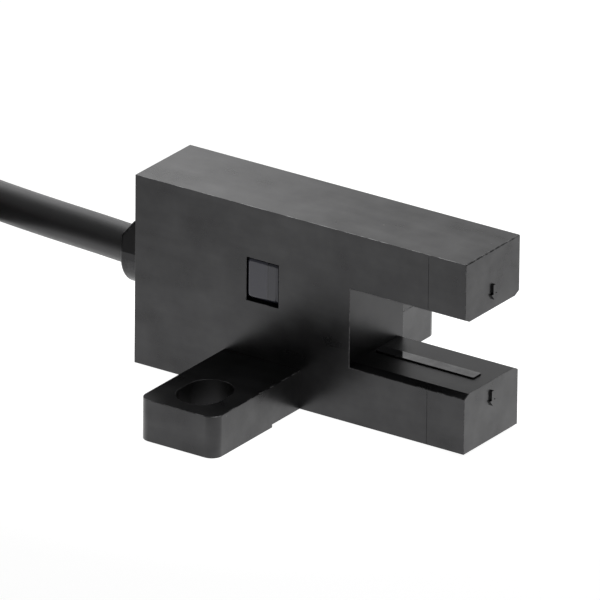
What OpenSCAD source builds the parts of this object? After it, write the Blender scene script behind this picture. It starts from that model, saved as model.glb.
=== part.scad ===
// Slotted optical switch: a black case with two arms, mounting ears and a fixed lead.
// The origin lies midway between the mounting holes, on the face that is screwed down.
// +X runs along the body to the arm tips, +Y to the back face, +Z up.

/* [Body] */
// Length from the lead end to the arm tips
body_length = 25.7; // [25:0.1:32]
// Thickness from the indicator face to the back face
body_thickness = 6.2; // [6:0.1:7]
// Height of each arm beside the slot
arm_height = 4.1; // [3.9:0.1:6]
// Distance from the line of the mounting holes back to the lead end
rear_reach = 10; // [9.5:0.1:11]
// Thickness of the outer walls
wall = 0.8; // [0.6:0.05:0.9]

/* [Sensing slot] */
// Gap between the arms
slot_width = 5; // [4.8:0.1:8]
// Depth of the slot from the arm tips
slot_depth = 8.9; // [8:0.1:9.6]
// Wall between the slot and the inside of each arm
slot_wall = 0.6; // [0.4:0.05:0.7]
// Width of the bevels along the slot, across the arm
slot_bevel_across = 0.5; // [0.2:0.05:0.7]
// Depth of the bevels along the slot, along the side of the arm
slot_bevel_down = 0.25; // [0.1:0.05:0.35]

/* [Optics] */
// Distance from the arm tips back to the light beam
beam_from_tip = 2.85; // [2.6:0.05:3.4]
// Width of the window ribs that show in the slot
rib_width = 0.95; // [0.6:0.05:1.4]
// Height of the window ribs above the slot faces
rib_height = 0.11; // [0.05:0.01:0.15]
// Corner radius of the window ribs
rib_corner = 0.15; // [0.1:0.05:0.28]
// Distance from the arm tips to the window ribs
rib_from_tip = 1.05; // [0.9:0.05:2]
// Distance from the end of the slot to the window ribs
rib_from_slot_end = 0.2; // [0.1:0.05:1]
// Thickness of the window plates inside the arms
window_plate = 0.4; // [0.3:0.05:0.5]
// Width of the window plates inside the arms
window_plate_width = 3.8; // [3:0.1:4.2]
// Length of the light emitter and the light receiver along the arm
optic_length = 3; // [2.4:0.1:3.2]
// Width of the light emitter and the light receiver across the arm
optic_width = 3.2; // [2.6:0.1:3.6]
// Thickness of the light emitter
emitter_thickness = 1.7; // [1.4:0.05:1.75]
// Height of the emitter's dome lens
dome_height = 0.4; // [0.3:0.05:0.45]
// Radius of the emitter's dome lens
dome_radius = 0.9; // [0.7:0.05:1]
// Thickness of the light receiver
receiver_thickness = 2; // [1.6:0.05:2.2]
// Width of the lead strips of the emitter and the receiver
strip_width = 0.35; // [0.25:0.05:0.4]
// Thickness of the lead strips
strip_thickness = 0.25; // [0.15:0.05:0.3]
// Spacing of the lead strips
strip_pitch = 0.7; // [0.6:0.05:0.7]

/* [Beam marks] */
// Width of the fine lines that mark the beam on the arm sides
mark_width = 0.08; // [0.05:0.01:0.15]
// Depth of the fine lines
mark_depth = 0.02; // [0.01:0.01:0.1]
// Distance of the fine lines' ends from the edges of the arms
mark_margin = 0.12; // [0.05:0.01:0.3]
// Height of the raised arrows above the arm tips
arrow_height = 0.15; // [0.05:0.01:0.25]
// Length of the raised arrows
arrow_length = 1.05; // [0.8:0.05:1.6]
// Width of the arrow heads
arrow_head_width = 0.62; // [0.4:0.02:1]
// Length of the arrow heads
arrow_head_length = 0.4; // [0.3:0.05:0.6]
// Width of the arrow shafts
arrow_shaft_width = 0.24; // [0.1:0.02:0.36]
// Distance from the slot faces to the middle of the arrows
arrow_from_slot = 1.2; // [1:0.05:1.6]

/* [Mounting ears] */
// Span over both ears
ear_span = 25.4; // [25:0.1:30]
// Width of the ears along the body
ear_width = 6; // [5:0.1:8]
// Height of the ears above the mounting face
ear_height = 2.9; // [2:0.1:4]
// Radius of the ears' outer corners
ear_corner = 0.8; // [0.4:0.1:1.5]
// Length of the raised pads under the ears
pad_length = 6.5; // [5.8:0.1:8]
// Height of the raised pads
pad_step = 0.2; // [0.1:0.05:0.5]
// Distance from the ends of the ears to the middle of the mounting holes
hole_inset = 3.2; // [2.8:0.1:3.8]
// Width of the mounting holes
hole_width = 3.2; // [3:0.1:3.6]
// Length of the mounting holes across the body
hole_length = 4.2; // [3.8:0.1:4.6]

/* [Indicator] */
// Width of the indicator opening along the body
indicator_width = 2.5; // [2:0.1:3]
// Height of the indicator opening
indicator_height = 3; // [2.4:0.1:3.4]
// Height of the middle of the indicator opening above the mounting face
indicator_z = 8.3; // [7.4:0.1:9]
// Depth of the indicator window below the case face
indicator_recess = 0.02; // [0:0.01:0.3]
// Gap beside and above the indicator window
indicator_gap = 0.02; // [0.01:0.01:0.15]
// Gap under the indicator window
indicator_gap_under = 0.2; // [0.1:0.01:0.3]
// Corner radius of the indicator window
indicator_corner = 0.3; // [0.1:0.05:0.4]
// Width of the lip that holds the indicator window behind the wall
indicator_lip = 0.35; // [0.2:0.05:0.5]
// Thickness of that lip
indicator_lip_thickness = 0.4; // [0.3:0.05:0.6]
// Width of the light guide behind the window
guide_width = 1.4; // [1:0.1:1.8]
// Height of the light guide behind the window
guide_height = 1.8; // [1.4:0.1:2.2]

/* [Lead entry] */
// Diameter of the lead
lead_diameter = 2.6; // [2.2:0.1:2.8]
// Clearance of the lead in its entry
lead_clearance = 0.05; // [0.02:0.01:0.1]
// Thickness of the rear cover
rear_cover_thickness = 1; // [0.8:0.1:1.2]
// Depth of the rear cover below the end of the case
rear_cover_recess = 0.1; // [0.05:0.05:0.3]
// Clearance of the parts that slide into the case
fit_clearance = 0.05; // [0.02:0.01:0.1]
// Length of the collar around the lead
collar_length = 1.85; // [1.2:0.05:2.5]
// Radius of the collar
collar_radius = 2.2; // [2:0.05:2.4]
// Height of the joint between collar and clamp above the lead's middle
collar_split = 0.5; // [0.3:0.05:0.7]
// Height of the clamp above the lead's middle
clamp_height = 2.8; // [2.4:0.1:3.2]
// Height of the clamp's outer end above the lead's middle
clamp_end_height = 1.6; // [1.55:0.05:1.9]
// Length of the slope that runs down to the clamp's outer end
clamp_slope = 1; // [0.6:0.1:1.1]
// Amount by which the clamp's sides lean in
clamp_lean = 0.2; // [0:0.05:0.3]
// Length of the lead's sheath inside the rear cover
sheath_inside = 1; // [0.6:0.1:1.2]

/* [Circuit board] */
// Thickness of the circuit board
board_thickness = 0.8; // [0.6:0.1:1]
// Gap between the circuit board and the back wall
board_back_gap = 0.6; // [0.5:0.1:0.8]
// Gap between the lead's sheath and the circuit board
board_rear_gap = 0.3; // [0.2:0.1:0.6]
// Gap between the circuit board and the wall at the end of the slot
board_front_gap = 0.2; // [0.1:0.1:0.5]
// Length of the soldered ends of the lead strips on the board
strip_overlap = 1.6; // [1:0.1:2]
// Diameter of the wires in the lead
wire_diameter = 0.6; // [0.5:0.05:0.65]
// Spacing of the wires in the lead
wire_pitch = 0.7; // [0.66:0.02:0.75]
// Length of the wires between the lead's sheath and their solder pads, along the body
inner_wire_length = 3.6; // [3:0.1:4]
// Spacing of the wires' solder pads on the board
pad_pitch = 2; // [1.8:0.1:2.2]
// Radius of the solder joints
solder_radius = 0.4; // [0.3:0.05:0.45]
// Height of the solder joints
solder_height = 0.3; // [0.2:0.05:0.4]

/* [Lead] */
// Radius of the coil at the middle of its turns
coil_radius = 15.4; // [14:0.1:15.6]
// Thickness of the ties that hold the coil
tie_thickness = 0.4; // [0.3:0.1:0.6]
// Width of the ties
tie_width = 2.5; // [1.5:0.1:4]
// Clearance of the ties around the coil
tie_clearance = 0.15; // [0.1:0.05:0.3]
// Length of bare copper at the end of each wire
strip_bare = 5; // [3:0.5:8]
// Diameter of the bare copper
copper_diameter = 0.4; // [0.3:0.05:0.45]

/* [Hidden] */
$fn = 48;

// Main planes of the case
half_thickness = body_thickness / 2;
rear_x = -rear_reach;
tip_x = rear_x + body_length;
slot_x = tip_x - slot_depth;
beam_x = tip_x - beam_from_tip;
bottom_z = pad_step;
slot_floor = bottom_z + arm_height;
slot_ceiling = slot_floor + slot_width;
top_z = slot_ceiling + arm_height;
middle_z = (slot_floor + slot_ceiling) / 2;
hole_pitch = ear_span - 2 * hole_inset;
past = 1;
touch = 0.02;

// Inside of the case
inner_half = half_thickness - wall;
inner_bottom = bottom_z + wall;
inner_top = top_z - wall;
inner_height = inner_top - inner_bottom;
inner_end = slot_x - wall;
arm_end = tip_x - wall;

// Window plates and ribs
plate_start = slot_x;
plate_end = arm_end - fit_clearance;
rib_start = slot_x + rib_from_slot_end;
rib_end = tip_x - rib_from_tip;
lower_plate_top = slot_floor - slot_wall;
upper_plate_bottom = slot_ceiling + slot_wall;

// Circuit board and what stands on it
sheath_end = rear_x + rear_cover_recess + rear_cover_thickness + sheath_inside;
board_start = sheath_end + board_rear_gap;
board_end = inner_end - board_front_gap;
board_face = inner_half - board_back_gap - board_thickness;
strip_start = board_end - strip_overlap;
strip_end = beam_x - optic_length / 2;
emitter_bottom = upper_plate_bottom + window_plate + fit_clearance + dome_height;
receiver_top = lower_plate_top - window_plate - fit_clearance;
emitter_strip_z = emitter_bottom + (emitter_thickness - strip_pitch - strip_width) / 2;
receiver_strip_z = receiver_top - (receiver_thickness + 2 * strip_pitch + strip_width) / 2;
lamp_size = [0.8, 0.6, 1.6];
inner_wire_steps = 12;
wire_end_x = sheath_end + inner_wire_length;

// Places of the chips on the board, as distance along the body and height
transistor_at = [-1.5, 4.5];
transistor_size = [1.3, 0.95, 2.9];
leg_size = [0.85, 0.12, 0.4];
leg_pitch = 0.95;
resistor_size = [0.5, 0.35, 1];
resistors_at = [[2.2, 3.6], [2.2, 5.2], [2.2, 6.8]];
capacitor_at = [2.4, 9.6];
capacitor_size = [0.8, 0.8, 1.6];
diode_at = [-2, 10.6];
diode_size = [1.25, 0.9, 1.7];

// Lead: the route where it isn't coiled, from the collar to the coil
lead_radius = lead_diameter / 2;
lead_exit = [rear_x - collar_length, 0, middle_z];
lead_route = [lead_exit, [-15, 0.3, 6.8], [-19, 0.6, 6.8], [-23, 1, 6.8], [-25.2, 1.4, 6.8],
    [-27.1, 2.1, 6.9], [-28.9, 3.1, 6.9], [-30.5, 4.5, 6.9]];
coil_centre = [-43.2, -8.2];
coil_entry_angle = 45;
coil_turns_wide = 3;
coil_layers = 3;
coil_bottom = tie_thickness;
coil_outside = coil_radius + coil_turns_wide * lead_radius;
coil_inside = coil_radius - coil_turns_wide * lead_radius;
coil_top = coil_bottom + coil_layers * lead_diameter;
tail_from = coil_entry_angle + 43;
tail_angle = 263;
tail_end = tail_from + tail_angle;
tail_z = coil_top + lead_radius;
tie_angles = [110, 270];

// Wires that come out of the lead's free end and lie on the coil
tail_wire_steps = 8;
tail_wire_turn = 15;
tail_fan_steps = 4;
tail_wire_z = coil_top + wire_diameter / 2;
sweep_sides = 8;

// Extrudes a Y-Z outline along X
module along_x(start, length) {
    translate([start, 0, 0]) rotate([90, 0, 90]) linear_extrude(length) children();
}

// Extrudes an X-Z outline along Y
module along_y(start, length) {
    translate([0, start + length, 0]) rotate([90, 0, 0]) linear_extrude(length) children();
}

module rounded_plate(width, height, corner) {
    square([width - 2 * corner, height], center = true);
    square([width, height - 2 * corner], center = true);
    for (sx = [-1, 1], sy = [-1, 1])
        translate([sx * (width / 2 - corner), sy * (height / 2 - corner)]) circle(corner);
}

module oblong(width, length) {
    square([width, length - width], center = true);
    for (s = [-1, 1]) translate([0, s * (length - width) / 2]) circle(d = width);
}

// A block given by its two corners
module block(low, high) {
    translate(low) cube(high - low);
}

// A chip that stands on the board, centred at a distance along the body and a height
module chip(at, size, lift = 0) {
    translate([at[0] - size[0] / 2, board_face - size[1] - lift, at[1] - size[2] / 2]) cube(size);
}

// Sweeping a round section along points
function unit(v) = v / norm(v);
function ease(t) = t * t * (3 - 2 * t);
function heading(points, i) = unit(points[min(i + 1, len(points) - 1)] - points[max(i - 1, 0)]);
function ring(centre, along, radius) =
    let (side = unit(cross(along, [0, 0, 1])), up = cross(side, along))
    [for (k = [0 : sweep_sides - 1])
        let (a = 360 * k / sweep_sides) centre + radius * (cos(a) * side + sin(a) * up)];

module sweep(points, radius, first_heading) {
    n = sweep_sides;
    count = len(points);
    rings = [for (i = [0 : count - 1])
        each ring(points[i], i == 0 ? first_heading : heading(points, i), radius)];
    walls = [for (i = [0 : count - 2], k = [0 : n - 1])
        let (a = i * n + k, b = i * n + (k + 1) % n) each [[a, a + n, b], [b, a + n, b + n]]];
    ends = [[for (k = [0 : n - 1]) k], [for (k = [n - 1 : -1 : 0]) (count - 1) * n + k]];
    polyhedron(rings, concat(walls, ends), convexity = 4);
}

// Section of the slot with its bevelled edges, across the body
module slot_section() {
    side = half_thickness + past;
    inner = half_thickness - slot_bevel_across;
    low = slot_floor - slot_bevel_down;
    high = slot_ceiling + slot_bevel_down;
    polygon([[-side, low], [-half_thickness, low], [-inner, slot_floor], [inner, slot_floor],
        [half_thickness, low], [side, low], [side, high], [half_thickness, high], [inner, slot_ceiling],
        [-inner, slot_ceiling], [-half_thickness, high], [-side, high]]);
}

module ears() {
    translate([0, 0, bottom_z]) linear_extrude(ear_height - bottom_z)
        rounded_plate(ear_width, ear_span, ear_corner);
    difference() {
        linear_extrude(bottom_z) rounded_plate(ear_width, ear_span, ear_corner);
        recess_half = ear_span / 2 - pad_length;
        block([-ear_width, -recess_half, -past], [ear_width, recess_half, bottom_z + past]);
    }
}

// Opening for a window rib, or the rib itself when the gap is zero
module rib_outline(gap) {
    translate([(rib_start + rib_end) / 2, 0])
        rounded_plate(rib_end - rib_start + 2 * gap, rib_width + 2 * gap, rib_corner + gap);
}

module inside() {
    block([rear_x - past, -inner_half, inner_bottom], [inner_end, inner_half, inner_top]);
    block([inner_end - past, -inner_half, inner_bottom], [arm_end, inner_half, lower_plate_top]);
    block([inner_end - past, -inner_half, upper_plate_bottom], [arm_end, inner_half, inner_top]);
}

module beam_lines() {
    length = arm_height - slot_bevel_down - 2 * mark_margin;
    for (s = [-1, 1], z = [bottom_z, slot_ceiling + slot_bevel_down])
        translate([beam_x, s * half_thickness, z + mark_margin])
            block([-mark_width / 2, -mark_depth, 0], [mark_width / 2, mark_depth, length]);
}

module arrow() {
    head_z = arrow_head_length - arrow_length / 2;
    polygon([[0, -arrow_length / 2], [arrow_head_width / 2, head_z], [arrow_shaft_width / 2, head_z],
        [arrow_shaft_width / 2, arrow_length / 2], [-arrow_shaft_width / 2, arrow_length / 2],
        [-arrow_shaft_width / 2, head_z], [-arrow_head_width / 2, head_z]]);
}

// The moulded case, in one piece with its arms and ears
module case() {
    color("#1d1d1f") {
        difference() {
            union() {
                block([rear_x, -half_thickness, bottom_z], [tip_x, half_thickness, top_z]);
                ears();
            }
            along_x(slot_x, slot_depth + past) slot_section();
            inside();
            for (z = [slot_floor, slot_ceiling]) translate([0, 0, z - slot_wall - past])
                linear_extrude(2 * (slot_wall + past)) rib_outline(fit_clearance / 2);
            for (s = [-1, 1]) translate([0, s * hole_pitch / 2, -past])
                linear_extrude(ear_height + 2 * past) oblong(hole_width, hole_length);
            translate([0, 0, indicator_z]) along_y(-half_thickness - past, wall + 2 * past)
                square([indicator_width, indicator_height], center = true);
            beam_lines();
        }
        for (z = [slot_floor - arrow_from_slot, slot_ceiling + arrow_from_slot])
            translate([0, 0, z]) along_x(tip_x, arrow_height) arrow();
    }
}

module lead_bore(extra = 0) {
    translate([0, middle_z]) circle(lead_radius + extra);
}

module collar_outline() {
    translate([0, middle_z]) {
        difference() {
            circle(collar_radius);
            translate([-collar_radius, 0]) square(2 * collar_radius);
        }
        translate([-collar_radius, 0]) square([2 * collar_radius, collar_split]);
    }
}

// Cover that closes the lead end, with the lower part of the collar
module rear_cover() {
    outer_x = rear_x + rear_cover_recess;
    half = inner_half - fit_clearance;
    color("#202022") difference() {
        union() {
            block([outer_x, -half, inner_bottom + fit_clearance],
                [outer_x + rear_cover_thickness, half, inner_top - fit_clearance]);
            along_x(rear_x - collar_length, collar_length + rear_cover_recess) collar_outline();
        }
        along_x(rear_x - collar_length - past, collar_length + rear_cover_thickness + 3 * past)
            lead_bore(lead_clearance);
    }
}

// Saddle that closes the collar over the lead, with a slope down to its outer end
module lead_clamp() {
    outer_x = rear_x - collar_length;
    inner_x = rear_x + rear_cover_recess;
    crown_half = collar_radius - clamp_lean;
    color("#161617") difference() {
        intersection() {
            along_x(outer_x, inner_x - outer_x) translate([0, middle_z])
                polygon([[-collar_radius, collar_split], [collar_radius, collar_split],
                    [crown_half, clamp_height], [-crown_half, clamp_height]]);
            along_y(-collar_radius, 2 * collar_radius) translate([0, middle_z])
                polygon([[outer_x, collar_split], [inner_x, collar_split], [inner_x, clamp_height],
                    [outer_x + clamp_slope, clamp_height], [outer_x, clamp_end_height]]);
        }
        along_x(outer_x - past, inner_x - outer_x + 2 * past) lead_bore(lead_clearance);
    }
}

// Clear window with its light guide to the indicator lamp
module indicator_window() {
    width = indicator_width - 2 * indicator_gap;
    height = indicator_height - indicator_gap - indicator_gap_under;
    face_y = -half_thickness + indicator_recess;
    lip_y = -inner_half;
    guide_y = lip_y + indicator_lip_thickness;
    guide_end = board_face - lamp_size[1] - fit_clearance;
    color("#55565a") {
        translate([0, 0, indicator_z + (indicator_gap_under - indicator_gap) / 2])
            along_y(face_y, lip_y - face_y) rounded_plate(width, height, indicator_corner);
        translate([0, 0, indicator_z]) {
            along_y(lip_y, indicator_lip_thickness)
                square([indicator_width, indicator_height] + 2 * indicator_lip * [1, 1], center = true);
            along_y(guide_y, guide_end - guide_y) square([guide_width, guide_height], center = true);
        }
    }
}

// Window of the lower arm, lying on the inside of the slot wall
module window_part(height) {
    block([plate_start, -window_plate_width / 2, -window_plate], [plate_end, window_plate_width / 2, 0]);
    linear_extrude(height) rib_outline(-fit_clearance / 2);
}

module receiver_window() {
    color("#38383c") translate([0, 0, lower_plate_top]) window_part(slot_wall + rib_height);
}

module emitter_window() {
    color("#38383c") translate([0, 0, upper_plate_bottom]) mirror([0, 0, 1])
        window_part(slot_wall + rib_height);
}

module circuit_board() {
    color("#1f6b3a") block([board_start, board_face, inner_bottom + fit_clearance],
        [board_end, board_face + board_thickness, inner_top - fit_clearance]);
}

module light_emitter() {
    low = [beam_x - optic_length / 2, -optic_width / 2, emitter_bottom];
    color("#8fa3b8") {
        block(low, low + [optic_length, optic_width, emitter_thickness]);
        translate([beam_x, 0, emitter_bottom + dome_radius - dome_height]) sphere(dome_radius);
    }
}

module light_receiver() {
    high = [beam_x + optic_length / 2, optic_width / 2, receiver_top];
    color("#2a2a30") block(high - [optic_length, optic_width, receiver_thickness], high);
}

// Lead strips side by side along the board's face, from the board to a package
module strips(count, first_z) {
    color("silver") for (i = [0 : count - 1]) translate([0, 0, first_z + i * strip_pitch])
        block([strip_start, board_face - strip_thickness, 0], [strip_end, board_face, strip_width]);
}

module emitter_strips() { strips(2, emitter_strip_z); }
module receiver_strips() { strips(3, receiver_strip_z); }

module indicator_lamp() { color("#e8d9a0") chip([0, indicator_z], lamp_size); }
module output_transistor() { color("#242427") chip(transistor_at, transistor_size, leg_size[1]); }
module transistor_legs() {
    reach = transistor_size[0] / 2;
    color("silver") for (leg = [[-1, -1], [-1, 1], [1, 0]])
        chip(transistor_at + [leg[0] * reach, leg[1] * leg_pitch], leg_size);
}
module chip_resistors() { color("#2c2c2c") for (at = resistors_at) chip(at, resistor_size); }
module chip_capacitor() { color("#a98f6a") chip(capacitor_at, capacitor_size); }
module protection_diode() { color("#232326") chip(diode_at, diode_size); }

// Wires 0 to 3 of the lead: place in the sheath and height of the solder pad
function wire_side(i) = (i == 0 || i == 3 ? -1 : 1) * wire_pitch / 2;
function wire_rise(i) = (i < 2 ? 1 : -1) * wire_pitch / 2;
function wire_pad_z(i) = middle_z + (1.5 - i) * pad_pitch;

// Solder at the ends of the wires and of the lead strips
module solder_joints() {
    module joint(x, z, radius) {
        translate([x, board_face, z]) rotate([90, 0, 0]) cylinder(h = solder_height, r = radius);
    }
    strip_joint = strip_width / 2;
    color("#b8bac0") {
        for (i = [0 : 3]) joint(wire_end_x + solder_radius, wire_pad_z(i), solder_radius);
        for (i = [0 : 1])
            joint(strip_start - strip_joint, emitter_strip_z + i * strip_pitch + strip_joint, strip_joint);
        for (i = [0 : 2])
            joint(strip_start - strip_joint, receiver_strip_z + i * strip_pitch + strip_joint, strip_joint);
    }
}

// A wire of the lead, from the cut sheath to its solder pad
function inner_point(i, step) =
    let (t = ease(min(max((step - 1) / (inner_wire_steps - 2), 0), 1)),
        pad_y = board_face - wire_diameter / 2)
    [sheath_end + step * (wire_end_x - sheath_end) / inner_wire_steps,
        wire_side(i) + t * (pad_y - wire_side(i)),
        middle_z + wire_rise(i) + t * (wire_pad_z(i) - middle_z - wire_rise(i))];

module inner_wire(i) {
    sweep([for (k = [0 : inner_wire_steps]) inner_point(i, k)], wire_diameter / 2, [1, 0, 0]);
}

module wire_brown() { color("#6b4226") inner_wire(0); }
module wire_pink() { color("#e39ab0") inner_wire(1); }
module wire_black() { color("#141414") inner_wire(2); }
module wire_blue() { color("#2f5fb0") inner_wire(3); }

// The sheath where it passes the collar and the cover
module lead_end() {
    color("#1a1a1b") along_x(lead_exit[0], sheath_end - lead_exit[0]) lead_bore();
}

// The free lead from the collar to the coil
module lead_run() {
    color("#1a1a1b") difference() {
        sweep(lead_route, lead_radius, [-1, 0, 0]);
        translate([coil_centre[0], coil_centre[1], -past]) cylinder(h = coil_top + 2 * past,
            r = coil_outside + touch, $fn = 96);
    }
}

// Outer shape of the coil: three turns wide and three high, with one more turn on the inside
module lead_coil() {
    color("#1a1a1b") translate([coil_centre[0], coil_centre[1], coil_bottom]) rotate_extrude($fn = 96)
        translate([coil_inside, 0]) {
            square([coil_turns_wide, coil_layers] * lead_diameter);
            square([1, coil_layers + 1] * lead_diameter);
        }
}

// The last part of a turn, which lies on the coil
module lead_tail() {
    color("#1a1a1b") translate([coil_centre[0], coil_centre[1], tail_z]) rotate([0, 0, tail_from])
        rotate_extrude(angle = tail_angle, $fn = 96) translate([coil_radius, 0]) circle(lead_radius);
}

// Ties around the coil and its last turn
module coil_ties() {
    low_r = coil_inside - tie_clearance;
    high_r = coil_outside + tie_clearance;
    crown_r = coil_radius + lead_radius + tie_clearance;
    crown_z = coil_top + lead_diameter + tie_clearance;
    shoulder_z = coil_top + tie_clearance;
    t = tie_thickness;
    color("#2a2a2b") for (a = tie_angles)
        translate([coil_centre[0], coil_centre[1], 0]) rotate([0, 0, coil_entry_angle + a])
            along_y(-tie_width / 2, tie_width) difference() {
                polygon([[low_r - t, 0], [high_r + t, 0], [high_r + t, shoulder_z + t],
                    [crown_r + t, crown_z + t], [low_r - t, crown_z + t]]);
                polygon([[low_r, coil_bottom - touch], [high_r, coil_bottom - touch], [high_r, shoulder_z],
                    [crown_r, crown_z], [low_r, crown_z]]);
            }
}

// Free wire i on top of the coil: fans out from the sheath, then drops beside the others
function tail_lane(i) = [0, 3, 2, 1][i];
function tail_point(i, step) =
    let (spread = ease(min(step / tail_fan_steps, 1)),
        drop = ease(min(max(step / tail_fan_steps - 0.5, 0), 1)),
        lane = lead_diameter + (tail_lane(i) - 1.5) * wire_pitch,
        r = coil_radius + wire_side(i) + spread * (lane - wire_side(i)),
        z = tail_z + wire_rise(i) + drop * (tail_wire_z - tail_z - wire_rise(i)),
        a = tail_end + step * tail_wire_turn)
    [coil_centre[0] + r * cos(a), coil_centre[1] + r * sin(a), z];
function tail_heading(step) =
    let (a = tail_end + step * tail_wire_turn) [-sin(a), cos(a), 0];

module tail_wire(i) {
    sweep([for (k = [0 : tail_wire_steps]) tail_point(i, k)], wire_diameter / 2, tail_heading(0));
}

module tail_brown() { color("#6b4226") tail_wire(0); }
module tail_pink() { color("#e39ab0") tail_wire(1); }
module tail_black() { color("#141414") tail_wire(2); }
module tail_blue() { color("#2f5fb0") tail_wire(3); }

// Bare copper at the end of each free wire
module bare_ends() {
    color("#c98a55") for (i = [0 : 3]) {
        run = unit(tail_point(i, tail_wire_steps) - tail_point(i, tail_wire_steps - 1));
        translate(tail_point(i, tail_wire_steps)) rotate([0, 90, atan2(run[1], run[0])])
            cylinder(h = strip_bare, d = copper_diameter);
    }
}

case();
rear_cover();
lead_clamp();
indicator_window();
emitter_window();
receiver_window();
circuit_board();
light_emitter();
emitter_strips();
light_receiver();
receiver_strips();
indicator_lamp();
output_transistor();
transistor_legs();
chip_resistors();
chip_capacitor();
protection_diode();
solder_joints();
wire_brown();
wire_pink();
wire_black();
wire_blue();
lead_end();
lead_run();
lead_coil();
lead_tail();
coil_ties();
tail_brown();
tail_pink();
tail_black();
tail_blue();
bare_ends();
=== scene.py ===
import math

import bmesh
import bpy
from mathutils import Matrix, Vector


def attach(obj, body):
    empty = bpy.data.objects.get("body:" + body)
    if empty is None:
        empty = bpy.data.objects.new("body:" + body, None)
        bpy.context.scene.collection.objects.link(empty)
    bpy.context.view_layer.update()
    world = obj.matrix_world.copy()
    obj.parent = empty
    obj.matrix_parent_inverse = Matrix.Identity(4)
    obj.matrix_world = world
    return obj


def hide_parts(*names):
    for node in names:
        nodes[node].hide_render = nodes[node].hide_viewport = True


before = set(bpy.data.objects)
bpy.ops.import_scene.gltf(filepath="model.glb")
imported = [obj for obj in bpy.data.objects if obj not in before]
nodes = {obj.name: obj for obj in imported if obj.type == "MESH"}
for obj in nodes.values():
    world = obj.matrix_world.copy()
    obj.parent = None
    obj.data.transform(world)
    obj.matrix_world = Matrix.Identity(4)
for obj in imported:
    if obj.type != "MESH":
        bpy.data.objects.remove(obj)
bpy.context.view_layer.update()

mm = 0.001
print("frame loaded,", len(nodes), "nodes")


def clearSelection():
    if bpy.context.mode != "OBJECT":
        bpy.ops.object.mode_set(mode="OBJECT")
    bpy.ops.object.select_all(action="DESELECT")


def ease(t):
    t = min(max(t, 0.0), 1.0)
    return t * t * (3.0 - 2.0 * t)


# camera, at the photograph's distance and angle
cameraPlan = {
    "middle": (2.03 * mm, 0.0, 6.2 * mm),
    "azimuth": 34.1,
    "elevation": 23.18,
    "roll": 0.58,
    "distance": 1014.8 * mm,
    "lens": 945.2,
    "slide": (-0.99 * mm, 0.28 * mm),   # aims a little left of and above the middle
    "sensor": 36.0,
}


def placeCamera(plan):
    a = math.radians(plan["azimuth"])
    e = math.radians(plan["elevation"])
    back = Vector((math.sin(a) * math.cos(e), -math.cos(a) * math.cos(e), math.sin(e)))
    right = Vector((math.cos(a), math.sin(a), 0.0))
    up = back.cross(right)
    middle = Vector(plan["middle"])
    stand = middle + back * plan["distance"]
    aim = middle + right * plan["slide"][0] + up * plan["slide"][1]
    turn = (aim - stand).to_track_quat("-Z", "Y").to_matrix()
    turn = turn @ Matrix.Rotation(math.radians(plan["roll"]), 3, "Z")
    bpy.ops.object.camera_add(location=stand, rotation=turn.to_euler())
    camera = bpy.context.object
    camera.name = "photoCamera"
    camera.data.lens = plan["lens"]
    camera.data.sensor_width = plan["sensor"]
    camera.data.dof.use_dof = False
    bpy.context.scene.camera = camera


clearSelection()
placeCamera(cameraPlan)
print("camera placed")


# the lead: one line from the collar through all the turns of its coil
leadPlan = {
    "radius": 1.3 * mm,
    "length": 0.96,
    "route": [   # millimetres, as in the part's source
        (-11.85, 0.0, 6.8), (-15.0, 0.3, 6.8), (-19.0, 0.6, 6.8), (-23.0, 1.0, 6.8),
        (-25.2, 1.4, 6.8), (-27.1, 2.1, 6.9), (-28.9, 3.1, 6.9), (-30.5, 4.5, 6.9),
    ],
    "centre": (-43.2, -8.2),
    "entryAngle": 45.0,
    "middleTurn": 15.4,
    "firstHeight": 1.7,
    "pitch": 2.6,
    # column (out 1, middle 0, in -1), layer, and the turn count at which it moves on
    "turns": [
        (1, 2, 0.84), (1, 1, 1.84), (1, 0, 2.72), (0, 0, 3.72), (-1, 0, 4.60), (-1, 1, 5.48),
        (0, 1, 6.36), (0, 2, 7.24), (-1, 2, 8.12), (-1, 3, 9.00), (0, 3, 9.85),
    ],
    "shift": 0.12,      # share of a turn that a move takes
    "stepsPerTurn": 48,
    "stepsPerKnot": 2,  # on the way from the collar to the coil
    "sides": 6,
}


def coilPoint(plan, wind, radius, height):
    a = math.radians(plan["entryAngle"]) + 2.0 * math.pi * wind
    x = plan["centre"][0] + radius * math.cos(a)
    y = plan["centre"][1] + radius * math.sin(a)
    return Vector((x, y, height)) * mm


def windPlace(plan, wind):
    turns = plan["turns"]
    here = 0
    while here < len(turns) - 1 and wind > turns[here][2] + plan["shift"]:
        here += 1
    onward = min(here + 1, len(turns) - 1)
    t = ease((wind - turns[here][2]) / plan["shift"])
    column = turns[here][0] + t * (turns[onward][0] - turns[here][0])
    layer = turns[here][1] + t * (turns[onward][1] - turns[here][1])
    return (plan["middleTurn"] + column * plan["pitch"],
            plan["firstHeight"] + layer * plan["pitch"])


def smoothRoute(points, between):
    route = []
    for i in range(len(points) - 1):
        p0 = points[max(i - 1, 0)]
        p1, p2 = points[i], points[i + 1]
        p3 = points[min(i + 2, len(points) - 1)]
        for k in range(between):
            t = k / between
            bend = 2.0 * p0 - 5.0 * p1 + 4.0 * p2 - p3
            twist = 3.0 * p1 - p0 - 3.0 * p2 + p3
            route.append(0.5 * (2.0 * p1 + (p2 - p0) * t + bend * t * t + twist * t ** 3))
    return route


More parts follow.
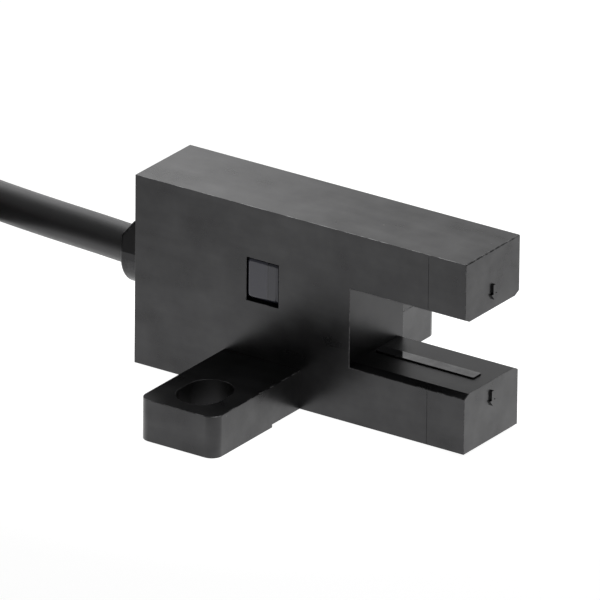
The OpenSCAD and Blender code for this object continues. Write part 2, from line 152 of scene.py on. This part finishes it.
def cordCurve(name, points, radius, sides):
    curve = bpy.data.curves.new(name, "CURVE")
    curve.dimensions = "3D"
    curve.bevel_depth = 1.0   # each knot's radius sets the size
    curve.bevel_resolution = sides
    curve.use_fill_caps = True
    curve.resolution_u = 3
    spline = curve.splines.new("BEZIER")
    spline.bezier_points.add(len(points) - 1)
    for knot, place in zip(spline.bezier_points, points):
        knot.co = place
        knot.radius = radius
        knot.handle_left_type = "AUTO"
        knot.handle_right_type = "AUTO"
    piece = bpy.data.objects.new(name, curve)
    bpy.context.scene.collection.objects.link(piece)
    return piece


leadRoute = [Vector(p) * mm for p in leadPlan["route"]]
leadLine = smoothRoute(leadRoute, leadPlan["stepsPerKnot"])
lastWind = leadPlan["turns"][-1][2]
stepCount = round(lastWind * leadPlan["stepsPerTurn"])
for step in range(stepCount + 1):
    wind = lastWind * step / stepCount
    turnRadius, turnHeight = windPlace(leadPlan, wind)
    leadLine.append(coilPoint(leadPlan, wind, turnRadius, turnHeight))
leadSheath = cordCurve("lead", leadLine, leadPlan["radius"], leadPlan["sides"])
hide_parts("lead_run", "lead_coil", "lead_tail")
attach(leadSheath, "root")


# the wires at the lead's free end, lying on the coil
tailPlan = {
    "radius": 0.3 * mm,
    "pitch": 0.7,
    "startHeight": 9.5,
    "restHeight": 8.5,
    "start": 43.0 + 263.0,   # degrees round the coil from where the lead enters
    "stepAngle": 15.0,
    "steps": 8,
    "fanSteps": 4,
    "length": 0.0375,
    "sides": 3,
    # name, side and rise in the sheath, lane on the coil
    "wires": [("brown", -1, 1, 0), ("pink", 1, 1, 3), ("black", 1, -1, 2), ("blue", -1, -1, 1)],
}


def tailLine(plan, side, rise, lane):
    points = []
    for k in range(2 * plan["steps"] + 1):
        step = 0.5 * k
        spread = ease(step / plan["fanSteps"])
        drop = ease(step / plan["fanSteps"] - 0.5)
        near = side * plan["pitch"] / 2.0
        far = leadPlan["pitch"] + (lane - 1.5) * plan["pitch"]
        high = plan["startHeight"] + rise * plan["pitch"] / 2.0
        radius = leadPlan["middleTurn"] + near + spread * (far - near)
        height = high + drop * (plan["restHeight"] - high)
        wind = (plan["start"] + step * plan["stepAngle"]) / 360.0
        points.append(coilPoint(leadPlan, wind, radius, height))
    return points


tailWires = {}
for colour, side, rise, lane in tailPlan["wires"]:
    line = tailLine(tailPlan, side, rise, lane)
    wire = cordCurve("wire_end_" + colour, line, tailPlan["radius"], tailPlan["sides"])
    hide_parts("tail_" + colour)
    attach(wire, "root")
    tailWires[colour] = wire
print("lead and its wires laid")


# moulded pieces: the solids' shapes with their edges broken
mouldPlan = {
    "merge": 0.002,        # millimetres
    "flat": 0.5,           # degrees, below which faces count as one
    "sharpest": 30.0,      # degrees, below which an edge stays as it is
    "near": 0.01,          # millimetres, for places that should agree
}


def workingCopy(nodeName, pieceName):
    clearSelection()
    piece = bpy.data.objects.new(pieceName, nodes[nodeName].data.copy())
    bpy.context.scene.collection.objects.link(piece)
    piece.data.materials.clear()
    bpy.context.view_layer.objects.active = piece
    piece.select_set(True)
    bpy.ops.object.mode_set(mode="EDIT")
    bpy.ops.mesh.select_mode(type="EDGE")
    bpy.ops.mesh.select_all(action="SELECT")
    bpy.ops.mesh.remove_doubles(threshold=mouldPlan["merge"] * mm)
    bpy.ops.mesh.dissolve_limited(angle_limit=math.radians(mouldPlan["flat"]))
    bpy.ops.mesh.customdata_custom_splitnormals_clear()
    return piece


def breakEdges(piece, wanted, width, segments):
    work = bmesh.from_edit_mesh(piece.data)
    bpy.ops.mesh.select_all(action="DESELECT")
    for edge in work.edges:
        if len(edge.link_faces) != 2 or not edge.is_convex:
            continue
        if math.degrees(edge.calc_face_angle()) < mouldPlan["sharpest"]:
            continue
        ends = [v.co / mm for v in edge.verts]
        if wanted(ends[0], ends[1]):
            edge.select_set(True)
    bmesh.update_edit_mesh(piece.data)
    bpy.ops.mesh.bevel(offset=width * mm, offset_type="OFFSET", segments=segments, profile=0.5,
                       clamp_overlap=False)


# smooth over the broken edges only, and note where they are for the wear and the painted edge highlights
def finishMoulding(piece, nodeName, edgeWidth, smoothAngle=25.0, wearAndHighlight=None):
    bpy.ops.object.mode_set(mode="OBJECT")
    bpy.ops.object.shade_smooth_by_angle(angle=math.radians(smoothAngle))
    flat = piece.modifiers.new("flatFaces", "WEIGHTED_NORMAL")
    flat.keep_sharp = True
    flat.weight = 100
    bpy.ops.object.modifier_apply(modifier=flat.name)
    # the marked faces on the broken edges take a pale colour, partly real scuffs and partly a painted
    # highlight
    edgeMark = piece.data.attributes.new("edge", "FLOAT", "FACE")
    for face in piece.data.polygons:
        corners = [piece.data.vertices[i].co for i in face.vertices]
        around = sum((corners[i] - corners[i - 1]).length for i in range(len(corners)))
        edge = float(face.area < 0.5 * around * edgeWidth * mm)
        edgeMark.data[face.index].value = edge * wearAndHighlight(face.center / mm) if wearAndHighlight else edge
    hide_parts(nodeName)
    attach(piece, "root")


casePlan = {
    "edge": 0.04,          # millimetres
    "tipEdge": 0.10,       # along the upper arm's tip
    "segments": 4,
    "top": 13.39,
    "innerHalf": 2.301,    # inside of the walls, where edges stay as they are
    "innerLow": 0.999,
    "innerHigh": 12.601,
    "innerEnd": 14.901,
    "rear": -9.99,
    "tip": 15.701,
    "line": (12.8, 12.9),  # the fine beam lines
    "wearAndHighlight": {"top": 13.34, "front": -3.04, "strong": 2.0, "slight": 0.5},
    "slot": {"low": 4.28, "high": 9.32, "end": 6.7, "tip": 15.68, "half": 3.0},
    "hole": {"place": 9.5, "reach": 2.2, "half": 1.7, "upright": 0.95},
}


def caseEdge(a, b):
    plan = casePlan
    for p in (a, b):
        if p.x > plan["tip"] or plan["line"][0] < p.x < plan["line"][1]:
            return False
        inWalls = abs(p.y) < plan["innerHalf"] and plan["innerLow"] < p.z < plan["innerHigh"]
        if inWalls and plan["rear"] < p.x < plan["innerEnd"]:
            return False
    return True


def tipEdge(a, b):
    for p in (a, b):
        if p.z < casePlan["top"] or abs(p.x - casePlan["tip"]) > mouldPlan["near"]:
            return False
    return True


# the long edge between top and front gets the strongest pale edge colour: real wear with a painted
# highlight for its reflection; the other edges get a slight share
def caseWearAndHighlight(place):
    wearAndHighlight = casePlan["wearAndHighlight"]
    longEdge = place.z > wearAndHighlight["top"] and place.y < wearAndHighlight["front"]
    return wearAndHighlight["strong"] if longEdge else wearAndHighlight["slight"]


caseShell = workingCopy("case", "case_moulding")
breakEdges(caseShell, tipEdge, casePlan["tipEdge"], casePlan["segments"])
breakEdges(caseShell, caseEdge, casePlan["edge"], casePlan["segments"])
finishMoulding(caseShell, "case", casePlan["edge"], wearAndHighlight=caseWearAndHighlight)

# the collar round the lead: lower part on the cover, upper part on the clamp
collarPlan = {
    "edge": 0.25,
    "segments": 5,
    "axisZ": 6.8,
    "boreReach": 1.5,      # nearer to the lead's middle than this, edges stay sharp
    "joint": 7.3,
    "outerEnd": -11.8,
    "caseEnd": -9.95,
}


def fromLead(p):
    return math.hypot(p.y, p.z - collarPlan["axisZ"])


def collarOutside(a, b):
    outside = min(fromLead(a), fromLead(b)) > collarPlan["boreReach"]
    fromJoint = max(abs(a.z - collarPlan["joint"]), abs(b.z - collarPlan["joint"]))
    return outside and fromJoint >= mouldPlan["near"]


def collarEdge(a, b):
    return collarOutside(a, b) and max(a.x, b.x) < collarPlan["outerEnd"]


def clampEdge(a, b):
    return collarOutside(a, b) and min(a.x, b.x) <= collarPlan["caseEnd"]


coverShell = workingCopy("rear_cover", "rear_cover_moulding")
breakEdges(coverShell, collarEdge, collarPlan["edge"], collarPlan["segments"])
finishMoulding(coverShell, "rear_cover", collarPlan["edge"])

clampShell = workingCopy("lead_clamp", "lead_clamp_moulding")
breakEdges(clampShell, clampEdge, collarPlan["edge"], collarPlan["segments"])
finishMoulding(clampShell, "lead_clamp", collarPlan["edge"])

# the indicator's window, rounded in front and without wear
lensPlan = {"edge": 0.25, "segments": 6, "front": -3.05, "smooth": 40.0, "wornAndLit": 0.0}


def lensEdge(a, b):
    return max(a.y, b.y) < lensPlan["front"]


lensShell = workingCopy("indicator_window", "indicator_lens")
breakEdges(lensShell, lensEdge, lensPlan["edge"], lensPlan["segments"])
finishMoulding(lensShell, "indicator_window", lensPlan["wornAndLit"], lensPlan["smooth"])

# the ribs in the slot, each rounded at its own height
ribPlan = {
    "edge": 0.02,
    "segments": 3,
    "within": 0.02,
    "ribs": [("receiver_window", "receiver_rib", 4.41), ("emitter_window", "emitter_rib", 9.19)],
}
ribShells = []
for nodeName, pieceName, height in ribPlan["ribs"]:
    rib = workingCopy(nodeName, pieceName)
    breakEdges(rib, lambda a, b, z=height: max(abs(a.z - z), abs(b.z - z)) < ribPlan["within"],
               ribPlan["edge"], ribPlan["segments"])
    finishMoulding(rib, nodeName, ribPlan["edge"])
    ribShells.append(rib)
clearSelection()
print("mouldings finished")


# surface patterns that several finishes share
def newGroup(name, inputs, outputs):
    group = bpy.data.node_groups.new(name, "ShaderNodeTree")
    for label, kind, value in inputs:
        socket = group.interface.new_socket(name=label, in_out="INPUT", socket_type=kind)
        if value is not None:
            socket.default_value = value
    for label, kind in outputs:
        group.interface.new_socket(name=label, in_out="OUTPUT", socket_type=kind)
    start = group.nodes.new("NodeGroupInput")
    end = group.nodes.new("NodeGroupOutput")
    return group, start, end


def addNode(tree, kind, **values):
    node = tree.nodes.new(kind)
    for key, value in values.items():
        setattr(node, key, value)
    return node


def noiseNode(tree, detail, roughness):
    node = addNode(tree, "ShaderNodeTexNoise")
    node.inputs["Detail"].default_value = detail
    node.inputs["Roughness"].default_value = roughness
    return node


def rangeNode(tree, low, high, toLow, toHigh):
    node = addNode(tree, "ShaderNodeMapRange")
    node.inputs["From Min"].default_value = low
    node.inputs["From Max"].default_value = high
    node.inputs["To Min"].default_value = toLow
    node.inputs["To Max"].default_value = toHigh
    return node


# moulded skin: cloudy gloss, flow streaks along X and a fine grain
skinDefaults = {"cloud": 600.0, "grain": 3500.0, "bump": 0.1, "bumpDepth": 0.01, "ior": 1.5, "metal": 0.0,
                "sheen": 0.0, "sheenRough": 0.4, "coatRough": 0.3}
streakPlan = {"scale": 1100.0, "stretch": (0.12, 1.0, 1.0), "share": 0.3, "relief": 0.5,
              "span": (0.31, 0.69)}


def mouldedSkin():
    group, start, end = newGroup(
        "mouldedSkin",
        [("Vector", "NodeSocketVector", None), ("Cloud", "NodeSocketFloat", skinDefaults["cloud"]),
         ("Grain", "NodeSocketFloat", skinDefaults["grain"])],
        [("Tone", "NodeSocketFloat"), ("Height", "NodeSocketFloat")])
    cloud = noiseNode(group, 3.0, 0.55)
    group.links.new(start.outputs["Vector"], cloud.inputs["Vector"])
    group.links.new(start.outputs["Cloud"], cloud.inputs["Scale"])
    stretch = addNode(group, "ShaderNodeMapping")
    stretch.inputs["Scale"].default_value = streakPlan["stretch"]
    streak = noiseNode(group, 2.0, 0.5)
    streak.inputs["Scale"].default_value = streakPlan["scale"]
    group.links.new(start.outputs["Vector"], stretch.inputs["Vector"])
    group.links.new(stretch.outputs["Vector"], streak.inputs["Vector"])
    blend = addNode(group, "ShaderNodeMix", data_type="FLOAT")
    blend.inputs["Factor"].default_value = streakPlan["share"]
    group.links.new(cloud.outputs["Fac"], blend.inputs["A"])
    group.links.new(streak.outputs["Fac"], blend.inputs["B"])
    tone = rangeNode(group, *streakPlan["span"], 0.0, 1.0)
    group.links.new(blend.outputs["Result"], tone.inputs["Value"])
    grain = noiseNode(group, 2.0, 0.5)
    group.links.new(start.outputs["Vector"], grain.inputs["Vector"])
    group.links.new(start.outputs["Grain"], grain.inputs["Scale"])
    relief = addNode(group, "ShaderNodeMix", data_type="FLOAT")
    relief.inputs["Factor"].default_value = streakPlan["relief"]
    group.links.new(grain.outputs["Fac"], relief.inputs["A"])
    group.links.new(streak.outputs["Fac"], relief.inputs["B"])
    group.links.new(tone.outputs["Result"], end.inputs["Tone"])
    group.links.new(relief.outputs["Result"], end.inputs["Height"])
    return group


# dust: a few fine specks, far apart
dustPlan = {"spacing": 420.0, "size": 0.03}


def dustSpecks():
    group, start, end = newGroup(
        "dustSpecks",
        [("Vector", "NodeSocketVector", None), ("Spacing", "NodeSocketFloat", dustPlan["spacing"]),
         ("Size", "NodeSocketFloat", dustPlan["size"])],
        [("Mask", "NodeSocketFloat")])
    cells = addNode(group, "ShaderNodeTexVoronoi")
    group.links.new(start.outputs["Vector"], cells.inputs["Vector"])
    group.links.new(start.outputs["Spacing"], cells.inputs["Scale"])
    inside = addNode(group, "ShaderNodeMath", operation="LESS_THAN")
    group.links.new(cells.outputs["Distance"], inside.inputs[0])
    group.links.new(start.outputs["Size"], inside.inputs[1])
    group.links.new(inside.outputs["Value"], end.inputs["Mask"])
    return group


# scuffs and painted highlights: the broken edges show paler here and there, partly real wear and partly a
# painted highlight standing in for their reflections
scuffAndHighlightPlan = {"spacing": 1600.0, "span": (0.45, 0.70)}


def edgeScuffsAndHighlights():
    group, start, end = newGroup(
        "edgeScuffsAndHighlights",
        [("Vector", "NodeSocketVector", None), ("Edge", "NodeSocketFloat", 0.0),
         ("Spacing", "NodeSocketFloat", scuffAndHighlightPlan["spacing"])],
        [("Mask", "NodeSocketFloat")])
    patch = noiseNode(group, 3.0, 0.6)
    group.links.new(start.outputs["Vector"], patch.inputs["Vector"])
    group.links.new(start.outputs["Spacing"], patch.inputs["Scale"])
    wornAndLit = rangeNode(group, *scuffAndHighlightPlan["span"], 0.0, 1.0)
    group.links.new(patch.outputs["Fac"], wornAndLit.inputs["Value"])
    both = addNode(group, "ShaderNodeMath", operation="MULTIPLY")
    group.links.new(wornAndLit.outputs["Result"], both.inputs[0])
    group.links.new(start.outputs["Edge"], both.inputs[1])
    group.links.new(both.outputs["Value"], end.inputs["Mask"])
    return group


skinGroup = mouldedSkin()
dustGroup = dustSpecks()
scuffAndHighlightGroup = edgeScuffsAndHighlights()


def mixColours(tree, mask, under, over):
    mix = addNode(tree, "ShaderNodeMix", data_type="RGBA")
    tree.links.new(mask, mix.inputs["Factor"])
    if isinstance(under, tuple):
        mix.inputs["A"].default_value = (*under, 1.0)
    else:
        tree.links.new(under, mix.inputs["A"])
    mix.inputs["B"].default_value = (*over, 1.0)
    return mix


coolGloss = (0.98, 0.975, 1.0, 1.0)   # reflections lean slightly to blue


def skinMaterial(finish):
    plan = {**skinDefaults, **finish}
    material = bpy.data.materials.new(plan["name"])
    material.use_nodes = True
    tree = material.node_tree
    shader = tree.nodes["Principled BSDF"]
    place = addNode(tree, "ShaderNodeTexCoord")
    skin = addNode(tree, "ShaderNodeGroup", node_tree=skinGroup)
    skin.inputs["Cloud"].default_value = plan["cloud"]
    skin.inputs["Grain"].default_value = plan["grain"]
    tree.links.new(place.outputs["Object"], skin.inputs["Vector"])
    paint = mixColours(tree, skin.outputs["Tone"], plan["dark"], plan["light"])
    if "dust" in plan:
        dust = addNode(tree, "ShaderNodeGroup", node_tree=dustGroup)
        tree.links.new(place.outputs["Object"], dust.inputs["Vector"])
        paint = mixColours(tree, dust.outputs["Mask"], paint.outputs["Result"], plan["dust"])
    # pale broken edges: partly real scuffs, partly a painted highlight
    if "scuffAndHighlight" in plan:
        edge = addNode(tree, "ShaderNodeAttribute", attribute_name="edge")
        scuffAndHighlight = addNode(tree, "ShaderNodeGroup", node_tree=scuffAndHighlightGroup)
        tree.links.new(place.outputs["Object"], scuffAndHighlight.inputs["Vector"])
        tree.links.new(edge.outputs["Fac"], scuffAndHighlight.inputs["Edge"])
        paint = mixColours(tree, scuffAndHighlight.outputs["Mask"], paint.outputs["Result"], plan["scuffAndHighlight"])
    tree.links.new(paint.outputs["Result"], shader.inputs["Base Color"])
    gloss = rangeNode(tree, 0.0, 1.0, *plan["rough"])
    tree.links.new(skin.outputs["Tone"], gloss.inputs["Value"])
    tree.links.new(gloss.outputs["Result"], shader.inputs["Roughness"])
    bump = addNode(tree, "ShaderNodeBump")
    bump.inputs["Strength"].default_value = plan["bump"]
    bump.inputs["Distance"].default_value = plan["bumpDepth"] * mm
    tree.links.new(skin.outputs["Height"], bump.inputs["Height"])
    tree.links.new(bump.outputs["Normal"], shader.inputs["Normal"])
    shader.inputs["IOR"].default_value = plan["ior"]
    shader.inputs["Specular Tint"].default_value = coolGloss
    shader.inputs["Metallic"].default_value = plan["metal"]
    if "coat" in plan:
        bloom = rangeNode(tree, 0.0, 1.0, 0.0, plan["coat"])
        tree.links.new(skin.outputs["Tone"], bloom.inputs["Value"])
        tree.links.new(bloom.outputs["Result"], shader.inputs["Coat Weight"])
        shader.inputs["Coat Roughness"].default_value = plan["coatRough"]
    shader.inputs["Sheen Weight"].default_value = plan["sheen"]
    shader.inputs["Sheen Roughness"].default_value = plan["sheenRough"]
    return material


# smoky window: a fine dark upright line, and right of it the window painted darker, as painted shade
# towards its right edge
def smokyWindow(plan):
    material = skinMaterial(plan)
    tree = material.node_tree
    shader = tree.nodes["Principled BSDF"]
    place = addNode(tree, "ShaderNodeTexCoord")
    axes = addNode(tree, "ShaderNodeSeparateXYZ")
    tree.links.new(place.outputs["Object"], axes.inputs["Vector"])
    low, high = plan["shadeStart"] - plan["blur"], plan["shadeStart"] + plan["blur"]
    # painted shade: past the upright line the window's colour turns darker
    past = rangeNode(tree, low * mm, high * mm, 0.0, 1.0)
    tree.links.new(axes.outputs["X"], past.inputs["Value"])
    under = shader.inputs["Base Color"].links[0].from_socket
    dimmed = mixColours(tree, past.outputs["Result"], under, plan["shadedRight"])
    away = addNode(tree, "ShaderNodeMath", operation="COMPARE")
    away.inputs[1].default_value = plan["shadeStart"] * mm
    away.inputs[2].default_value = plan["line"] * mm
    tree.links.new(axes.outputs["X"], away.inputs[0])
    lined = mixColours(tree, away.outputs["Value"], dimmed.outputs["Result"], plan["lineColour"])
    tree.links.new(lined.outputs["Result"], shader.inputs["Base Color"])
    return material


def paintOver(piece, material):
    piece.data.materials.clear()
    piece.data.materials.append(material)


# the slot and the screw holes come from separate mould cores; the slot has a duller finish, and the holes
# a darker, duller one still, as painted shade inside them
def paintCores(piece, slotFinish, shadedHoleFinish):
    piece.data.materials.append(slotFinish)
    piece.data.materials.append(shadedHoleFinish)
    slot, hole = casePlan["slot"], casePlan["hole"]
    for face in piece.data.polygons:
        middle = face.center / mm
        inSlot = slot["low"] < middle.z < slot["high"] and slot["end"] < middle.x < slot["tip"]
        inHole = abs(middle.x) < hole["half"] and abs(abs(middle.y) - hole["place"]) < hole["reach"]
        if inSlot and abs(middle.y) < slot["half"]:
            face.material_index = 1
        elif inHole and abs(face.normal.z) < hole["upright"]:
            face.material_index = 2


# the case's pale edge colour is partly real scuffing and partly a painted highlight, strongest along the
# top-front edge
blackMould = skinMaterial({
    "name": "blackMould", "dark": (0.002, 0.002, 0.0022), "light": (0.0065, 0.0065, 0.007),
    "rough": (0.26, 0.33), "ior": 1.51, "bump": 0.05, "coat": 0.42, "cloud": 420.0,
    "dust": (0.06, 0.06, 0.06), "scuffAndHighlight": (0.34, 0.34, 0.345)})
coreMould = skinMaterial({
    "name": "coreMould", "dark": (0.002, 0.002, 0.0022), "light": (0.005, 0.005, 0.0054),
    "rough": (0.32, 0.40), "ior": 1.47, "bump": 0.05})
# painted shade: this darker, duller copy of the case finish in the screw holes stands in for the shade
# inside them
shadedHoleMould = skinMaterial({
    "name": "shadedHoleMould", "dark": (0.002, 0.002, 0.002), "light": (0.004, 0.004, 0.004),
    "rough": (0.40, 0.48), "ior": 1.42, "bump": 0.05})
# the cover's and clamp's pale rim colour is a painted highlight, standing in for the rim's bright
# reflection
coverMould = skinMaterial({
    "name": "coverMould", "dark": (0.003, 0.003, 0.0033), "light": (0.007, 0.007, 0.0075),
    "rough": (0.30, 0.38), "ior": 1.48, "bump": 0.06, "scuffAndHighlight": (0.09, 0.09, 0.092)})
clampMould = skinMaterial({
    "name": "clampMould", "dark": (0.002, 0.002, 0.002), "light": (0.004, 0.004, 0.004),
    "rough": (0.36, 0.44), "ior": 1.30, "bump": 0.06, "scuffAndHighlight": (0.09, 0.09, 0.092)})
# the darker colour right of the window's line is painted shade
smokyLens = smokyWindow({
    "name": "smokyLens", "dark": (0.076, 0.077, 0.102), "light": (0.090, 0.092, 0.124),
    "rough": (0.12, 0.17), "ior": 1.55, "bump": 0.03, "cloud": 900.0,
    "shadeStart": 0.43, "blur": 0.12, "line": 0.05,   # millimetres along the case
    "shadedRight": (0.050, 0.052, 0.068), "lineColour": (0.030, 0.030, 0.038)})
darkRib = skinMaterial({
    "name": "darkRib", "dark": (0.003, 0.003, 0.0036), "light": (0.006, 0.006, 0.007),
    "rough": (0.05, 0.10), "ior": 1.8, "bump": 0.02, "cloud": 900.0, "coat": 1.0, "coatRough": 0.08})
sheathVinyl = skinMaterial({
    "name": "sheathVinyl", "dark": (0.014, 0.014, 0.014), "light": (0.019, 0.019, 0.019),
    "rough": (0.36, 0.42), "ior": 1.60, "bump": 0.08, "grain": 5000.0, "sheen": 0.35})
paintOver(caseShell, blackMould)
paintCores(caseShell, coreMould, shadedHoleMould)
paintOver(coverShell, coverMould)
paintOver(clampShell, clampMould)
paintOver(lensShell, smokyLens)
for rib in ribShells:
    paintOver(rib, darkRib)
paintOver(leadSheath, sheathVinyl)
paintOver(nodes["lead_end"], sheathVinyl)

tieNylon = skinMaterial({
    "name": "tieNylon", "dark": (0.012, 0.012, 0.012), "light": (0.02, 0.02, 0.02),
    "rough": (0.38, 0.5), "bump": 0.15, "grain": 6000.0})
paintOver(nodes["coil_ties"], tieNylon)

wireFinishes = {
    "brown": ((0.10, 0.038, 0.014), (0.14, 0.055, 0.020)),
    "pink": ((0.62, 0.23, 0.31), (0.72, 0.29, 0.38)),
    "black": ((0.008, 0.008, 0.008), (0.013, 0.013, 0.013)),
    "blue": ((0.020, 0.085, 0.34), (0.028, 0.115, 0.43)),
}
for colour, (dark, light) in wireFinishes.items():
    vinyl = skinMaterial({
        "name": colour + "Vinyl", "dark": dark, "light": light,
        "rough": (0.35, 0.45), "bump": 0.1, "grain": 9000.0})
    paintOver(tailWires[colour], vinyl)
    paintOver(nodes["wire_" + colour], vinyl)

# inside the case, and the bare wire ends
tinned = {"dark": (0.55, 0.55, 0.56), "light": (0.66, 0.66, 0.68), "rough": (0.25, 0.38), "metal": 1.0}
solder = {"dark": (0.5, 0.51, 0.53), "light": (0.6, 0.61, 0.63), "rough": (0.2, 0.3), "metal": 1.0}
copper = {"dark": (0.62, 0.28, 0.14), "light": (0.76, 0.38, 0.2), "rough": (0.22, 0.34), "metal": 1.0}
blackChip = {"dark": (0.016, 0.016, 0.018), "light": (0.026, 0.026, 0.028), "rough": (0.45, 0.6)}
innerFinishes = {
    "circuit_board": {"dark": (0.012, 0.085, 0.034), "light": (0.02, 0.12, 0.05), "rough": (0.3, 0.42)},
    "light_emitter": {"dark": (0.16, 0.25, 0.36), "light": (0.2, 0.3, 0.42), "rough": (0.08, 0.14)},
    "light_receiver": {"dark": (0.014, 0.014, 0.02), "light": (0.02, 0.02, 0.028), "rough": (0.12, 0.2)},
    "emitter_strips": tinned,
    "receiver_strips": tinned,
    "transistor_legs": tinned,
    "solder_joints": solder,
    "bare_ends": copper,
    "indicator_lamp": {"dark": (0.72, 0.62, 0.34), "light": (0.82, 0.72, 0.42), "rough": (0.15, 0.25)},
    "output_transistor": blackChip,
    "protection_diode": blackChip,
    "chip_resistors": {"dark": (0.02, 0.02, 0.02), "light": (0.035, 0.035, 0.035), "rough": (0.25, 0.35)},
    "chip_capacitor": {"dark": (0.36, 0.25, 0.13), "light": (0.46, 0.32, 0.18), "rough": (0.4, 0.55)},
}
for nodeName, finish in innerFinishes.items():
    paintOver(nodes[nodeName], skinMaterial({"name": nodeName + "Finish", "cloud": 1200.0, **finish}))
print("finishes applied")


# floor with a painted glow, surround and lamps
stagePlan = {
    "floorSize": 6.0,
    "floorColour": (0.45, 0.45, 0.45),
    "floorRough": 0.9,
    "paintedGlow": (1.0, 0.70),             # painted glow on the floor: under the part and further off
    "glowReach": (12.0, 36.0),       # millimetres
    "glowMiddle": (-2.0 * mm, 4.0 * mm, 0.0),
    "room": (0.10, 0.26),            # brightness at the horizon and overhead
    "roomRise": (0.1, 0.9),          # heights between which it changes
    "backdrop": 0.58,                # a pale sheet behind, to the left
    "backdropSide": (-0.50, 0.866, 0.0),
    "backdropEdge": (0.55, 0.85),    # how squarely that side is faced where the sheet begins and is full
    "lamps": [
        {"name": "softbox", "place": (-0.176, 0.138, 0.207), "size": (0.20, 0.20), "power": 0.07},
        {"name": "overhead", "place": (0.03, 0.05, 0.14), "size": (0.10, 0.10), "power": 0.12},
        {"name": "card", "place": (-0.0758, 0.0571, 0.043), "size": (0.06, 0.08), "power": 0.0085},
    ],
}


# the floor's glow is painted light, brightest under the part; the camera and reflections see it, but it
# lights nothing
def paintedGlowFloor(plan):
    paper = bpy.data.materials.new("paintedGlowFloor")
    paper.use_nodes = True
    tree = paper.node_tree
    shader = tree.nodes["Principled BSDF"]
    shader.inputs["Base Color"].default_value = (*plan["floorColour"], 1.0)
    shader.inputs["Roughness"].default_value = plan["floorRough"]
    shader.inputs["Specular IOR Level"].default_value = 0.0
    shader.inputs["Emission Color"].default_value = (1.0, 1.0, 1.0, 1.0)
    place = addNode(tree, "ShaderNodeTexCoord")
    reach = addNode(tree, "ShaderNodeVectorMath", operation="DISTANCE")
    reach.inputs[1].default_value = plan["glowMiddle"]
    tree.links.new(place.outputs["Object"], reach.inputs[0])
    near, far = plan["glowReach"]
    paintedGlow = rangeNode(tree, near * mm, far * mm, *plan["paintedGlow"])
    paintedGlow.interpolation_type = "SMOOTHSTEP"
    tree.links.new(reach.outputs["Value"], paintedGlow.inputs["Value"])
    # painted glow: seen and mirrored, but it throws no light of its own, so the shadow stays
    path = addNode(tree, "ShaderNodeLightPath")
    seen = addNode(tree, "ShaderNodeMath", operation="MAXIMUM")
    tree.links.new(path.outputs["Is Camera Ray"], seen.inputs[0])
    tree.links.new(path.outputs["Is Glossy Ray"], seen.inputs[1])
    clear = addNode(tree, "ShaderNodeMath", operation="MAXIMUM")
    tree.links.new(seen.outputs["Value"], clear.inputs[0])
    tree.links.new(path.outputs["Is Transmission Ray"], clear.inputs[1])
    lift = addNode(tree, "ShaderNodeMath", operation="MULTIPLY")
    tree.links.new(clear.outputs["Value"], lift.inputs[0])
    tree.links.new(paintedGlow.outputs["Result"], lift.inputs[1])
    tree.links.new(lift.outputs["Value"], shader.inputs["Emission Strength"])
    return paper


def studioSurround(plan):
    world = bpy.data.worlds.new("studioSurround")
    bpy.context.scene.world = world
    world.use_nodes = True
    tree = world.node_tree
    light = tree.nodes["Background"]
    light.inputs["Color"].default_value = (1.0, 1.0, 1.0, 1.0)
    place = addNode(tree, "ShaderNodeTexCoord")
    axes = addNode(tree, "ShaderNodeSeparateXYZ")
    tree.links.new(place.outputs["Generated"], axes.inputs["Vector"])
    room = rangeNode(tree, *plan["roomRise"], *plan["room"])
    tree.links.new(axes.outputs["Z"], room.inputs["Value"])
    facing = addNode(tree, "ShaderNodeVectorMath", operation="DOT_PRODUCT")
    facing.inputs[1].default_value = plan["backdropSide"]
    tree.links.new(place.outputs["Generated"], facing.inputs[0])
    sheet = rangeNode(tree, *plan["backdropEdge"], 0.0, 1.0)
    sheet.interpolation_type = "SMOOTHSTEP"
    tree.links.new(facing.outputs["Value"], sheet.inputs["Value"])
    strength = addNode(tree, "ShaderNodeMix", data_type="FLOAT")
    strength.inputs["B"].default_value = plan["backdrop"]
    tree.links.new(sheet.outputs["Result"], strength.inputs["Factor"])
    tree.links.new(room.outputs["Result"], strength.inputs["A"])
    tree.links.new(strength.outputs["Result"], light.inputs["Strength"])


def buildStage(plan):
    clearSelection()
    bpy.ops.mesh.primitive_plane_add(size=plan["floorSize"], location=(0.0, 0.0, 0.0))
    floor = bpy.context.object
    floor.name = "studioFloor"
    floor.data.materials.append(paintedGlowFloor(plan))
    studioSurround(plan)
    for entry in plan["lamps"]:
        bpy.ops.object.light_add(type="AREA", location=entry["place"])
        lamp = bpy.context.object
        lamp.name = entry["name"]
        lamp.data.shape = "RECTANGLE"
        lamp.data.size, lamp.data.size_y = entry["size"]
        lamp.data.energy = entry["power"]
        lamp.rotation_euler = (-lamp.location).to_track_quat("-Z", "Y").to_euler()


buildStage(stagePlan)
bpy.context.scene.view_settings.view_transform = "Standard"
print("stage built")
